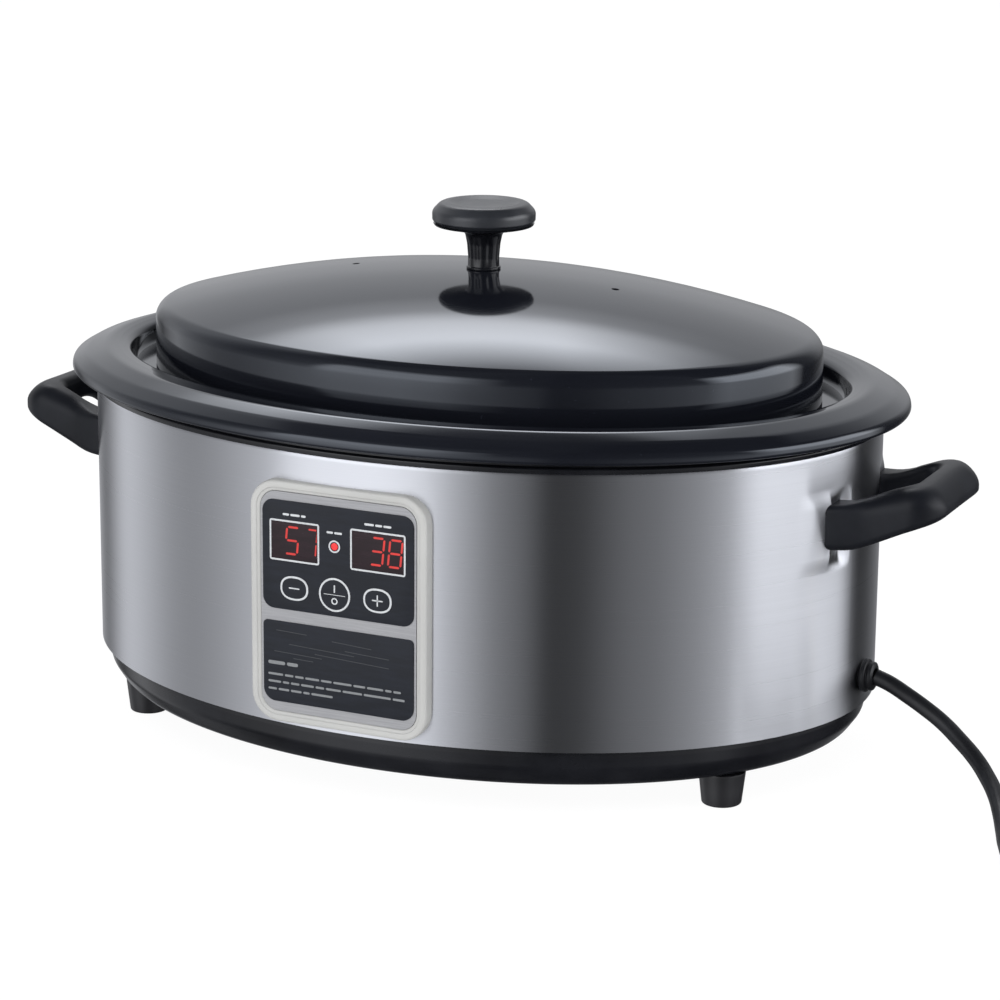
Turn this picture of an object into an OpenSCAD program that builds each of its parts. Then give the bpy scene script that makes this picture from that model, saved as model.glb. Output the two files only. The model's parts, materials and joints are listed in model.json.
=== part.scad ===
// Oval slow cooker with a digital front panel, a lift-out well and a lift-off lid.
// Millimetres. Origin on the table under the middle of the body.
// +X runs along the length, -Y is the front with the panel, +Z is up.

/* [Body] */
// Length of the steel wall, end to end
body_len = 360; // [354:1:366]
// Width of the steel wall, front to back
body_wid = 267; // [264:1:270]
// Height of the wall's lower edge above the table
wall_low = 32; // [31:0.5:33]
// Height of the wall's upper edge above the table
wall_top = 150; // [148:0.5:152]
// Thickness of the steel wall
wall_t = 0.8; // [0.6:0.1:1.2]
// Height of the underside of the base above the table
base_z = 14.5; // [14:0.5:15]

/* [Feet] */
// Distance of the feet from the middle, along the length
foot_x = 139; // [136:0.5:141]
// Distance of the feet from the middle, front to back
foot_y = 57; // [54:0.5:59]
// Radius of a foot at the table
foot_r = 8.5; // [8:0.25:9]

/* [Well and lid] */
// How far the well's flange stands out past the wall at the ends
rim_over = 12; // [10:0.5:14]
// Height of the flange's crest above the table
rim_z = 166.5; // [165:0.5:168]
// Height of the ledge the lid stands on
ledge_z = 157; // [156:0.5:158]
// Height of the inside floor of the well
well_floor = 48; // [47:0.5:52]
// Length of the lid's wall, end to end
lid_len = 306.6; // [303:0.2:308]
// Width of the lid's wall, front to back
lid_wid = 213.4; // [211:0.2:215]
// Height of the top of the lid above the table
lid_top = 205.7; // [203:0.1:208]
// Radius of the lid's knob
knob_r = 22.6; // [20:0.2:25]

/* [Handles] */
// Reach of the handles from the middle of the body
handle_x = 221; // [217:0.5:224]
// Half the outside width of a handle
handle_y = 34; // [32:0.5:36]

/* [Panel] */
// Width of the panel frame
panel_w = 81; // [80.5:0.5:84]
// Height of the panel frame
panel_h = 104; // [103.5:0.5:106]
// Offset of the middle of the panel along the length
panel_x = -1.3; // [-2:0.1:-0.5]
// Height of the middle of the panel above the table
panel_z = 86.2; // [85.5:0.1:87]
// Travel of the buttons
press = 0.8; // [0.4:0.1:0.8]

/* [Hidden] */
$fn = 96;
e = 0.05;
a0 = body_len / 2;
b0 = body_wid / 2;
base_o = -3.5;
rim_a = a0 + rim_over;
rim_b = b0 + rim_over * 0.6;
well_a = 168;
well_b = 113;
lid_a = lid_len / 2;
lid_b = lid_wid / 2;
lid_low = ledge_z + e;
front = -b0 - 2;
pcb_y = -122.5;
field_w = panel_w - 9;
field_h = panel_h - 9;
screen_w = field_w - 2.4;
screen_h = 46.6;
label_h = 35;
screen_z = panel_z + 20.5;
label_z = panel_z - 25.7;
windows = [[-21.2, 113, 22.5, 17], [17.2, 113.2, 24.7, 17]];
led_pos = [-2.7, 113.2];
minus_pos = [-21.3, 93];
onoff_pos = [-2.6, 92.7];
plus_pos = [17.1, 92.8];
buttons = [minus_pos, onoff_pos, plus_pos];
grommet_z = 45.5;
leg_y = handle_y - 6.5;
leg_z = 118;
cord_r = 3.5;
coil_pos = [322, -60];
coil_r = 38.5;
plug_pos = [364, 14];
cord_pts = [
  [186, 0, 45.4], [192.5, 0, 43.2], [200, 0, 39.4], [208, -0.5, 35.2], [217, -2, 30.2],
  [226, -6, 24.9], [235, -11.5, 19.6], [242, -18, 15], [248.5, -26.5, 10.9],
  [254, -37, 7.2], [259, -49, 4.6], [264, -62, 3.7], [271.5, -77.5, 3.6],
  [283.5, -91, 3.6], [300, -100, 3.6], [318, -102, 3.6]
];
tail_pts = [[364, -62, 10.6], [364, -50, 10.5], [364, -36, 10.3], [364, -23, 10.6], [364, -11, 11]];

// ---- Shapes shared by the nodes ----

// Upright oval solid, set in or out from the wall by o
module oval(o, h) {
  scale([1, (b0 + o) / (a0 + o), 1]) rotate(45) cylinder(r = a0 + o, h = h);
}

// Upright oval shell whose outside is set in or out by o
module oval_ring(o, t, h) {
  difference() {
    oval(o, h);
    translate([0, 0, -1]) oval(o - t, h + 2);
  }
}

// Profile carried round an oval of half axes a and b, a quarter at a time
module spun(a, b) {
  for (q = [0:3]) scale([1, b / a, 1]) rotate(45 + 90 * q) rotate_extrude(angle = 90, $fn = 144) children();
}

// Points of an arc about c, from angle u to angle v
function arc(c, r, u, v, n = 6) =
  [for (i = [0:n]) c + r * [cos(u + (v - u) * i / n), sin(u + (v - u) * i / n)]];

// Flat rectangle with round corners, about the origin
module rrect(w, h, r) {
  square([w - 2 * r, h], center = true);
  square([w, h - 2 * r], center = true);
  for (x = [-1, 1], y = [-1, 1]) translate([x * (w / 2 - r), y * (h / 2 - r)]) circle(r, $fn = 48);
}

// Slab in the plane of the panel, from y0 to y1
module slab(x, z, w, h, r, y0, y1) {
  translate([x, y1, z]) rotate([90, 0, 0]) linear_extrude(y1 - y0) rrect(w, h, r);
}

// Round bar along Y, from y0 to y1
module bar_y(x, z, r, y0, y1) {
  translate([x, y1, z]) rotate([90, 0, 0]) cylinder(r = r, h = y1 - y0, $fn = 48);
}

// Round bar along X, from x0 to x1
module bar_x(y, z, r, x0, x1) {
  translate([x0, y, z]) rotate([0, 90, 0]) cylinder(r = r, h = x1 - x0, $fn = 48);
}

module at_feet() {
  for (x = [-1, 1], y = [-1, 1]) translate([x * foot_x, y * foot_y, 0]) children();
}

module at_ends() {
  children();
  mirror([1, 0, 0]) children();
}

// ---- Base ----

module base_skirt() {
  r = a0 + base_o;
  color([0.05, 0.05, 0.06]) difference() {
    union() {
      spun(a0 + base_o, b0 + base_o) polygon(concat(
        [[r, wall_low]], arc([r - 10, base_z + 10], 10, 0, -90, 8),
        [[150, base_z], [150, base_z + 2.5]],
        arc([r - 10, base_z + 10], 7.5, -90, 0, 8), [[r - 2.5, wall_low]]));
      at_feet() translate([0, 0, base_z + 1]) cylinder(r = 4.8, h = 11);
    }
    at_feet() translate([0, 0, base_z - 1]) cylinder(r = 2, h = 14);
  }
}

module bottom_plate() {
  k = (b0 + base_o) / (a0 + base_o);
  color([0.55, 0.56, 0.57]) difference() {
    translate([0, 0, base_z + 2.5]) scale([1, k, 1]) cylinder(r = 153, h = 1.2);
    for (x = [-2:2], y = [-1, 1]) translate([x * 22, y * 52, base_z]) {
      translate([-2, -12, 0]) cube([4, 24, 6]);
      for (s = [-1, 1]) translate([0, s * 12, 0]) cylinder(r = 2, h = 6, $fn = 24);
    }
  }
}

module feet() {
  color([0.06, 0.06, 0.07]) at_feet() difference() {
    union() {
      cylinder(r1 = foot_r - 0.8, r2 = foot_r, h = 1);
      translate([0, 0, 1]) cylinder(r1 = foot_r, r2 = foot_r + 1.5, h = base_z - 1);
    }
    translate([0, 0, -1]) cylinder(r = 4.8, h = 8);
    translate([0, 0, -1]) cylinder(r = 2.2, h = base_z + 2);
  }
}

module base_screws() {
  color([0.6, 0.6, 0.62]) at_feet() difference() {
    union() {
      translate([0, 0, 4.4]) cylinder(r = 4.2, h = 2.6);
      translate([0, 0, 6]) cylinder(r = 1.95, h = 18);
    }
    for (a = [0, 90]) rotate(a) translate([-2.2, -0.4, 4]) cube([4.4, 0.8, 1.6]);
  }
}

// ---- Wall, trim ring and heating shell ----

module outer_wrap() {
  color([0.72, 0.73, 0.75]) difference() {
    union() {
      translate([0, 0, wall_low]) oval_ring(0, wall_t, wall_top - wall_low);
      translate([0, 0, wall_low]) oval_ring(0, 9, 0.8);
      at_ends() for (s = [-1, 1]) translate([168, s * 34, leg_z - 3.5])
        rotate([90, 0, 90]) linear_extrude(a0 - 173.4) rrect(25, 34, 6);
    }
    translate([panel_x - 38, -b0 - 5, panel_z - 48.5]) cube([76, 30, 97]);
    bar_x(0, grommet_z, 6, 160, a0 + 5);
    at_ends() for (s = [-1, 1]) bar_x(s * leg_y, leg_z, 2.2, 160, a0);
  }
}

module trim_ring() {
  z = wall_top;
  color([0.04, 0.04, 0.05]) spun(a0, b0) polygon([
    [157, z], [181.4, z], [181.4, z + 2.4], [179.8, z + 3], [179.8, z + 3.6],
    [182.5, z + 4.2], [182.5, z + 6], [175, z + 6], [175, z + 2], [157, z + 2]]);
}

module inner_liner() {
  z = well_floor - 7;
  color([0.62, 0.63, 0.64]) difference() {
    union() {
      translate([0, 0, z]) oval(-25, wall_top - z);
      translate([0, 0, wall_top - 1]) oval(-8, 1);
    }
    translate([0, 0, z + 1]) oval(-26, wall_top);
    translate([0, 0, z - 1]) cylinder(r = 7, h = 4);
  }
}

module insulation() {
  color([0.85, 0.83, 0.76]) difference() {
    translate([0, 0, 56]) oval_ring(-17.5, 5.2, 84);
    translate([120, -15, 92]) cube([60, 30, 12]);
  }
}

module heater_band() {
  color([0.75, 0.72, 0.62]) difference() {
    translate([0, 0, 62]) oval_ring(-23.2, 1.6, 46);
    translate([100, -4, 60]) cube([80, 8, 50]);
  }
}

module heater_terminals() {
  color([0.8, 0.7, 0.3]) for (s = [-1, 1]) {
    translate([a0 - 23, s * 9 - 3, 96]) cube([11, 6, 0.8]);
    translate([a0 - 17, s * 9, 96.8]) cylinder(r = 1.8, h = 2.4, $fn = 24);
  }
}

module thermal_fuse() {
  color([0.85, 0.82, 0.75]) {
    translate([-30, b0 - 22.2, 48]) rotate([0, 90, 0]) cylinder(r = 2.4, h = 14, $fn = 32);
    translate([-36, b0 - 22.2, 48]) rotate([0, 90, 0]) cylinder(r = 0.6, h = 6.2, $fn = 16);
    translate([-16.2, b0 - 22.2, 48]) rotate([0, 90, 0]) cylinder(r = 0.6, h = 6, $fn = 16);
  }
}

module temp_probe() {
  color([0.7, 0.7, 0.72]) {
    translate([0, 0, well_floor - 10.5]) cylinder(r = 6.5, h = 8);
    translate([0, 0, well_floor - 12]) cylinder(r = 9, h = 4.8);
  }
}

// ---- Handles ----

module handle() {
  x = handle_x;
  y = handle_y;
  intersection() {
    translate([0, 0, 100]) linear_extrude(50) difference() {
      union() {
        translate([a0 - 5.4, -y]) square([x - a0 - 8.6, 2 * y]);
        translate([a0, 14 - y]) square([x - a0, 2 * y - 28]);
        for (s = [-1, 1]) translate([x - 14, s * (y - 14)]) circle(14);
      }
      translate([a0 - 15, 13 - y]) square([x - a0 - 9, 2 * y - 26]);
      translate([a0 - 15, 21 - y]) square([x - a0 - 1, 2 * y - 42]);
      for (s = [-1, 1]) translate([x - 24, s * (y - 21)]) circle(8);
    }
    translate([0, 60, 0]) rotate([90, 0, 0]) linear_extrude(120) polygon(concat(
      [[x - 49, 108.6], [x - 34, 108.6], [x - 25, 110], [x - 17, 113.5], [x - 10, 118.5]],
      arc([x - 6.6, 132], 6.6, -35, 110, 8),
      [[x - 15, 139.6], [x - 23, 137.4], [x - 31, 132.6], [x - 38, 129.4], [x - 49, 128]]));
  }
}

// The bar is hollowed from below for the fingers
module drilled_handle() {
  color([0.07, 0.07, 0.08]) difference() {
    handle();
    translate([0, 0, 90]) oval(e, 60);
    translate([handle_x - 30, 0, 114]) rotate([0, 90, 0]) scale([1, 1.7, 1])
      cylinder(r = 11.4, h = 40, $fn = 48);
    for (s = [-1, 1]) bar_x(s * leg_y, leg_z, 1.9, a0 - 6, a0 + 10);
  }
}

module handle_right() {
  drilled_handle();
}

module handle_left() {
  mirror([1, 0, 0]) drilled_handle();
}

module handle_plates() {
  color([0.6, 0.6, 0.62]) at_ends() for (s = [-1, 1]) difference() {
    translate([166.2, s * 32 - 10, leg_z - 14]) cube([1.6, 20, 24]);
    bar_x(s * leg_y, leg_z, 2.2, 160, a0);
  }
}

module handle_screws() {
  color([0.6, 0.6, 0.62]) at_ends() for (s = [-1, 1]) {
    bar_x(s * leg_y, leg_z, 4, 163.6, 166.2);
    bar_x(s * leg_y, leg_z, 1.85, 166, a0 + 9);
  }
}

// ---- Control panel ----

module control_bezel() {
  color([0.78, 0.78, 0.75]) difference() {
    union() {
      difference() {
        slab(panel_x, panel_z, panel_w, panel_h, 12, front - 0.6, -b0 + 5);
        translate([0, 0, panel_z - 60]) oval(e, 120);
      }
      slab(panel_x, panel_z, panel_w - 8, panel_h - 8, 9, front + 0.6, -126);
    }
    slab(panel_x, panel_z, field_w, field_h, 7.5, front - 2, front + 1.4);
    slab(panel_x, panel_z, field_w - 2, field_h - 2, 6.5, front - 2, -125);
  }
}

module panel_plate() {
  color([0.6, 0.6, 0.61]) difference() {
    slab(panel_x, panel_z, field_w - 0.4, field_h - 0.4, 7.3, front + 0.2, front + 1.4);
    for (w = windows) slab(w[0], w[1], w[2] + 0.4, w[3] + 0.4, 0.5, front - 1, front + 3);
    for (b = [minus_pos, plus_pos]) slab(b[0], b[1], 13.6, 11, 5.4, front - 1, front + 3);
    bar_y(onoff_pos[0], onoff_pos[1], 7.5, front - 1, front + 3);
    bar_y(led_pos[0], led_pos[1], 2.7, front - 1, front + 3);
  }
}

module display_overlay() {
  color([0.17, 0.18, 0.21]) difference() {
    slab(panel_x, screen_z, screen_w, screen_h, 5, front - 0.2, front + 0.2);
    for (w = windows) slab(w[0], w[1], w[2] + 0.4, w[3] + 0.4, 0.5, front - 1, front + 3);
    for (b = [minus_pos, plus_pos]) slab(b[0], b[1], 13.6, 11, 5.4, front - 1, front + 3);
    bar_y(onoff_pos[0], onoff_pos[1], 7.5, front - 1, front + 3);
    bar_y(led_pos[0], led_pos[1], 2.7, front - 1, front + 3);
  }
}

module lower_label() {
  color([0.17, 0.18, 0.21]) {
    slab(panel_x, label_z, screen_w, label_h, 5.5, front - 0.2, front + 0.2);
    slab(panel_x, label_z + label_h / 4, screen_w, label_h / 2, 2, front - 0.2, front + 0.2);
  }
}

// Two-digit module with its row of pins
module display(w) {
  color([0.12, 0.03, 0.03]) {
    slab(w[0], w[1], w[2], w[3], 0.4, front - 0.1, front + 8);
    for (s = [-1, 1], i = [-2:2])
      bar_y(w[0] + 2.54 * i, w[1] + s * 6.5, 0.3, front + 7.8, pcb_y);
  }
}

module display_left() {
  display(windows[0]);
}

module display_right() {
  display(windows[1]);
}

module heat_led() {
  color([0.8, 0.05, 0.05]) {
    bar_y(led_pos[0], led_pos[1], 2.4, front - 0.1, front + 6);
    for (s = [-1, 1]) bar_y(led_pos[0] + s * 1.27, led_pos[1], 0.3, front + 5.8, pcb_y);
  }
}

// Round-ended cap with a flange behind the plate and a stem to its switch
module button(pos, w, h) {
  r = h / 2 - 0.05;
  color([0.2, 0.21, 0.24]) {
    slab(pos[0], pos[1], w, h, r, front - 0.5, front + 2.2);
    slab(pos[0], pos[1], w + 2.4, h + 2.4, r + 1, front + 1.8, front + 2.8);
    bar_y(pos[0], pos[1], 1.6, front + 2.6, pcb_y - 4.6);
  }
}

module button_minus() {
  button(minus_pos, 12.8, 10.2);
}

module button_onoff() {
  button(onoff_pos, 14.3, 14.3);
}

module button_plus() {
  button(plus_pos, 12.8, 10.2);
}

module tact_switches() {
  color([0.15, 0.15, 0.16]) for (b = buttons) {
    slab(b[0], b[1], 6, 6, 0.5, pcb_y - 3.5, pcb_y);
    for (x = [-1, 1], z = [-1, 1]) bar_y(b[0] + 2 * x, b[1] + 2 * z, 0.4, pcb_y - 3.8, pcb_y - 3.3);
  }
}

pcb_holes = [for (x = [-28, 28], z = [-38, 38]) [panel_x + x, panel_z + z]];

module control_pcb() {
  color([0.1, 0.35, 0.18]) difference() {
    union() {
      slab(panel_x, panel_z, 64, 84, 1, pcb_y, pcb_y + 1.6);
      slab(-8, 66, 12, 12, 0.3, pcb_y - 2, pcb_y + 0.2);
      slab(14, 60, 18, 7, 0.3, pcb_y - 6, pcb_y + 0.2);
      for (i = [0:4]) slab(-26 + 4 * i, 52, 2, 4, 0.2, pcb_y - 1, pcb_y + 0.2);
    }
    for (p = pcb_holes) bar_y(p[0], p[1], 1.6, pcb_y - 1, pcb_y + 3);
  }
}

module pcb_screws() {
  color([0.6, 0.6, 0.62]) for (p = pcb_holes) {
    bar_y(p[0], p[1], 2.6, pcb_y - 1.8, pcb_y);
    bar_y(p[0], p[1], 1.35, pcb_y - 0.5, pcb_y + 5.4);
  }
}

// Moulded tray behind the board, with a post at each screw
module control_box() {
  color([0.08, 0.08, 0.09]) difference() {
    union() {
      difference() {
        slab(panel_x, panel_z, 72, 92, 4, -126, -116.4);
        slab(panel_x, panel_z, 69, 89, 3, -127, -117.9);
      }
      for (p = pcb_holes) bar_y(p[0], p[1], 3.4, pcb_y + 1.6, -117);
    }
    for (p = pcb_holes) bar_y(p[0], p[1], 1.4, pcb_y, -117.1);
    slab(20, 51.5, 14, 18, 1, -118.5, -115);
  }
}

// ---- Power supply in the base ----

module power_board() {
  z = base_z + 8.5;
  color([0.75, 0.6, 0.3]) {
    translate([-60, -34, z]) cube([84, 62, 1.6]);
    for (x = [-55, 19], y = [-29, 23]) translate([x, y, base_z + 3.7]) cylinder(r = 2.5, h = 5, $fn = 32);
    translate([-50, 14, z + 1.4]) cylinder(r = 5, h = 10, $fn = 40);
    translate([8, -24, z + 1.4]) cube([9, 14, 7]);
  }
}

module transformer() {
  z = base_z + 10.1;
  color([0.35, 0.3, 0.2]) {
    translate([-54, -28, z]) cube([30, 26, 4]);
    translate([-49, -25, z + 3.8]) cube([20, 20, 6]);
    translate([-54, -28, z + 9.6]) cube([30, 26, 2.6]);
  }
}

module relay() {
  color([0.1, 0.25, 0.6]) translate([-18, -26, base_z + 10.1]) cube([20, 16, 13]);
}

module terminal_block() {
  color([0.9, 0.9, 0.88]) difference() {
    translate([96, -16, base_z + 3.7]) cube([22, 30, 12]);
    for (y = [-11, -1, 9]) {
      translate([103, y, base_z + 8]) cylinder(r = 2.6, h = 12, $fn = 32);
      bar_x(y, base_z + 9, 1.8, 110, 125);
    }
  }
}

module earth_screw() {
  color([0.8, 0.68, 0.3]) {
    translate([126, 30, base_z + 3.7]) cylinder(r = 5, h = 1);
    translate([126, 30, base_z + 4.6]) cylinder(r = 3.4, h = 3, $fn = 6);
    translate([126, 30, base_z + 7.4]) cylinder(r = 1.9, h = 5);
  }
}

module wiring() {
  color([0.75, 0.1, 0.08]) tube([[172, 1.8, 44], [160, 2.5, 40], [146, 3, 28], [119.5, 9, 23.5]], 1.2, 3, 8);
  color([0.1, 0.2, 0.6]) tube([[172, -1.8, 44], [162, -2.5, 41], [148, -3, 30], [119.5, -11, 23.5]], 1.2, 3, 8);
  color([0.7, 0.7, 0.1]) tube([[172, 0, 47.5], [162, 4, 45], [148, 16, 34], [131, 30, 24]], 1.2, 3, 8);
  color([0.85, 0.85, 0.85]) tube([[10, -40, 26.5], [14, -60, 27], [18, -99, 31], [20, -112.5, 42], [20, -119, 54.5]],
    2.4, 3, 8);
}

// ---- Cord ----

module cord_grommet() {
  color([0.05, 0.05, 0.06]) difference() {
    union() {
      bar_x(0, grommet_z, 8, a0 - 8, a0 - 3);
      bar_x(0, grommet_z, 5.8, a0 - 6, a0 + 1);
      bar_x(0, grommet_z, 7.2, a0 + 0.4, a0 + 2.6);
      bar_x(0, grommet_z, 5.6, a0 + 2.4, a0 + 3.4);
      bar_x(0, grommet_z, 6.2, a0 + 3.2, a0 + 5);
      translate([a0 + 4.8, 0, grommet_z]) rotate([0, 90, 0]) cylinder(r1 = 5.8, r2 = 4.8, h = 1.2);
    }
    bar_x(0, grommet_z, 3.2, a0 - 9, a0 + 3);
  }
}

// Smooth curve through hand-set points, as rings of a tube
function curve(p, t) = let (
    i = min(floor(t), len(p) - 2), u = t - i,
    q0 = p[max(i - 1, 0)], q1 = p[i], q2 = p[i + 1], q3 = p[min(i + 2, len(p) - 1)])
  0.5 * (2 * q1 + (q2 - q0) * u + (2 * q0 - 5 * q1 + 4 * q2 - q3) * u * u
    + (3 * q1 - q0 - 3 * q2 + q3) * u * u * u);

function unit(v) = v / norm(v);

module tube(p, r, steps, sides = 12) {
  n = (len(p) - 1) * steps;
  rings = [for (i = [0:n])
    let (t = i / steps, c = curve(p, t),
      d = unit(curve(p, min(t + 0.05, len(p) - 1)) - curve(p, max(t - 0.05, 0))),
      s = unit(cross(d, [0, 0, 1])), u = cross(s, d))
    for (k = [0:sides - 1]) c + r * (cos(360 * k / sides) * s + sin(360 * k / sides) * u)];
  polyhedron(points = rings, faces = concat(
    [[for (k = [0:sides - 1]) k]],
    [[for (k = [0:sides - 1]) n * sides + sides - 1 - k]],
    [for (i = [0:n - 1], k = [0:sides - 1]) let (j = (k + 1) % sides)
      [i * sides + j, i * sides + k, (i + 1) * sides + k]],
    [for (i = [0:n - 1], k = [0:sides - 1]) let (j = (k + 1) % sides)
      [i * sides + j, (i + 1) * sides + k, (i + 1) * sides + j]]));
}

module power_cord() {
  color([0.06, 0.06, 0.07]) tube(cord_pts, cord_r, 2);
}

module cord_tail() {
  color([0.06, 0.06, 0.07]) tube(tail_pts, cord_r, 2);
}

module cord_coil() {
  color([0.06, 0.06, 0.07]) translate([coil_pos[0], coil_pos[1], 0.1]) rotate_extrude()
    translate([coil_r, 7.1]) rrect(14.4, 14.2, 3.2);
}

module cord_tie() {
  x = coil_pos[0];
  y = coil_pos[1] + coil_r;
  color([0.1, 0.1, 0.1]) difference() {
    translate([x - 4, y - 8.6, 0]) cube([8, 17.2, 15.6]);
    translate([x - 5, y - 7.7, 0.1]) cube([10, 15.4, 14.6]);
  }
}

module plug_body() {
  x = plug_pos[0];
  y = plug_pos[1];
  color([0.05, 0.05, 0.06]) {
    translate([x - 13, y - 10, 0.2]) cube([26, 26, 22]);
    translate([x - 10, y - 17, 3]) cube([20, 8, 16]);
    translate([x, y - 25, 11]) rotate([-90, 0, 0]) cylinder(r1 = 4.4, r2 = 7, h = 9);
  }
}

module plug_pins() {
  x = plug_pos[0];
  y = plug_pos[1];
  color([0.8, 0.7, 0.4]) {
    for (s = [-1, 1]) translate([x + s * 6.35 - 0.75, y + 16, 11]) cube([1.5, 17, 6.3]);
    translate([x, y + 16, 5.5]) rotate([-90, 0, 0]) cylinder(r = 2.4, h = 20, $fn = 40);
  }
}

// ---- Well ----

module cookwell() {
  z = rim_z;
  f = well_floor;
  color([0.05, 0.05, 0.06]) difference() {
    union() {
      spun(rim_a, rim_b) polygon(concat(
        [[148, z - 1.6], [rim_a - 22, z - 0.5]],
        arc([rim_a - 17, z - 8], 8, 100, 62, 5),
        [[rim_a - 7, z - 3.2], [rim_a - 3.4, z - 5.4]],
        arc([rim_a - 3, z - 8.7], 3, 65, -110, 8),
        [[rim_a - 10.5, z - 6.5], [rim_a - 10.5, wall_top + 6], [rim_a - 13.5, wall_top + 6],
         [rim_a - 13.5, z - 3.2], [148, z - 3.6]]));
      spun(well_a, well_b) polygon(concat(
        [[well_a - 0.6, z - 2], [well_a - 0.6, ledge_z + 2]],
        arc([well_a - 2.6, ledge_z + 2], 2, 0, -90, 4), [[152, ledge_z]],
        arc([152, ledge_z - 3], 3, 90, 180, 4),
        arc([132.5, f + 13.5], 13.5, -2, -90, 8), [[0, f]], [[0, f - 2]],
        arc([132.5, f + 13.5], 15.5, -90, -2, 8),
        arc([152.2, ledge_z - 3], 1.2, 180, 90, 3), [[well_a - 1.5, ledge_z - 1.8]],
        [[well_a + 1.2, ledge_z + 0.8], [well_a + 1.2, z - 2]]));
    }
    translate([0, 0, z - 5]) scale([1, well_b / well_a, 1]) rotate(45) cylinder(r = well_a, h = 10);
  }
}

// ---- Lid and knob ----

module lid() {
  h = lid_top - 183.4;
  big = (lid_a * lid_a + h * h) / (2 * h);
  turn = asin((lid_a - 7) / (big - 7));
  cz = lid_top - big + (big - 7) * cos(turn);
  color([0.06, 0.06, 0.07]) difference() {
    spun(lid_a, lid_b) polygon(concat(
      [[lid_a, lid_low]], arc([lid_a - 7, cz], 7, 0, 90 - turn, 6),
      arc([0, lid_top - big], big, 90 - turn, 90, 14),
      arc([0, lid_top - big], big - 1.4, 90, 90 - turn, 14),
      arc([lid_a - 7, cz], 5.6, 90 - turn, 0, 6), [[lid_a - 1.4, lid_low]]));
    for (s = [-1, 1]) translate([s * 62.5, 0, 190]) cylinder(r = 1.8, h = 20, $fn = 32);
    translate([0, 0, 190]) cylinder(r = 2.6, h = 20, $fn = 32);
  }
}

module knob_stem() {
  z = lid_top;
  color([0.05, 0.05, 0.06]) difference() {
    rotate_extrude() polygon(concat(
      [[0, z], [7.4, z], [7.4, z + 0.8], [6.9, z + 1.2], [7.2, z + 8], [8.2, z + 15.5]],
      [[10.5, z + 17], [21.8, z + 18.9], [22, z + 20], [0, z + 20]]));
    translate([0, 0, z - 1]) cylinder(r = 2, h = 13, $fn = 32);
    for (i = [0:7]) rotate(i * 45) translate([9.3, 0, z + 1.6]) cylinder(r = 1.8, h = 11.6, $fn = 24);
  }
}

module knob_cap() {
  z = lid_top + 20;
  color([0.08, 0.08, 0.09]) rotate_extrude() polygon(concat(
    [[0, z], [knob_r - 0.2, z]], arc([knob_r - 5, z + 4.6], 5, -30, 75, 8),
    [[knob_r - 6.5, z + 9.4], [knob_r - 12, z + 8.6], [0, z + 8.2]]));
}

module knob_washer() {
  z = lid_top - 1.6;
  color([0.7, 0.7, 0.7]) translate([0, 0, z - 1.2]) difference() {
    cylinder(r = 8, h = 1.2);
    translate([0, 0, -1]) cylinder(r = 2.3, h = 4, $fn = 32);
  }
}

module knob_screw() {
  z = lid_top - 2.8;
  color([0.6, 0.6, 0.62]) difference() {
    union() {
      translate([0, 0, z - 2.6]) cylinder(r = 4.2, h = 2.6);
      translate([0, 0, z - 0.5]) cylinder(r = 1.95, h = 13, $fn = 32);
    }
    for (a = [0, 90]) rotate(a) translate([-2.2, -0.4, z - 3]) cube([4.4, 0.8, 1.6]);
  }
}

// ---- Drawing ----

base_skirt();
bottom_plate();
feet();
base_screws();
outer_wrap();
trim_ring();
inner_liner();
insulation();
heater_band();
heater_terminals();
thermal_fuse();
temp_probe();
handle_left();
handle_right();
handle_plates();
handle_screws();
control_bezel();
panel_plate();
display_overlay();
lower_label();
display_left();
display_right();
heat_led();
button_minus();
button_onoff();
button_plus();
tact_switches();
control_pcb();
pcb_screws();
control_box();
power_board();
transformer();
relay();
terminal_block();
earth_screw();
wiring();
cord_grommet();
power_cord();
cord_coil();
cord_tail();
cord_tie();
plug_body();
plug_pins();
cookwell();
lid();
knob_stem();
knob_cap();
knob_washer();
knob_screw();
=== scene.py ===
"""Looks of an oval slow cooker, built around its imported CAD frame.

Lengths in this script are millimetres until a mesh or curve is made, and +X, -Y and +Z are the cord's end,
the front and up. Sizes and places come from the boxes of the CAD nodes.
"""

import json
import math

import bmesh
import bpy
from mathutils import Matrix, Vector


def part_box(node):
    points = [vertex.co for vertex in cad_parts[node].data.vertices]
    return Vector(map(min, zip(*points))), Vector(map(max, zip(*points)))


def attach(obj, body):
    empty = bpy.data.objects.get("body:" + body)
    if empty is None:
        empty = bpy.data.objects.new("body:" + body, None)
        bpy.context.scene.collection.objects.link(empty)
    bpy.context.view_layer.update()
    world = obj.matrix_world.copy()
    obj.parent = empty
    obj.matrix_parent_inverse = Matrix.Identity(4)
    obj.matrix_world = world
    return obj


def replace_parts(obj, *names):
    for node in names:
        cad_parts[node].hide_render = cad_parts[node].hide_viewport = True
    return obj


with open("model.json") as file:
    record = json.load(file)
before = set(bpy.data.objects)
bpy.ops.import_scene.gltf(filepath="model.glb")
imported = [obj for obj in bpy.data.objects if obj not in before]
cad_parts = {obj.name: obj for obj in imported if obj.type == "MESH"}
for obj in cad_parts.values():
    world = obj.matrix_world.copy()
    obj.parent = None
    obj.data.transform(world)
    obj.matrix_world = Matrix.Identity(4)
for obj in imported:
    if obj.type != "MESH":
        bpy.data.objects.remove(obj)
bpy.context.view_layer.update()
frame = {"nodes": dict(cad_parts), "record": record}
MM = 0.001


def box_mm(node):
    """Lowest and highest corner of a CAD node, in millimetres."""
    low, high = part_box(node)
    return low / MM, high / MM


def middle(node):
    """Centre of a CAD node's box, in millimetres."""
    low, high = box_mm(node)
    return (low + high) / 2


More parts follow.
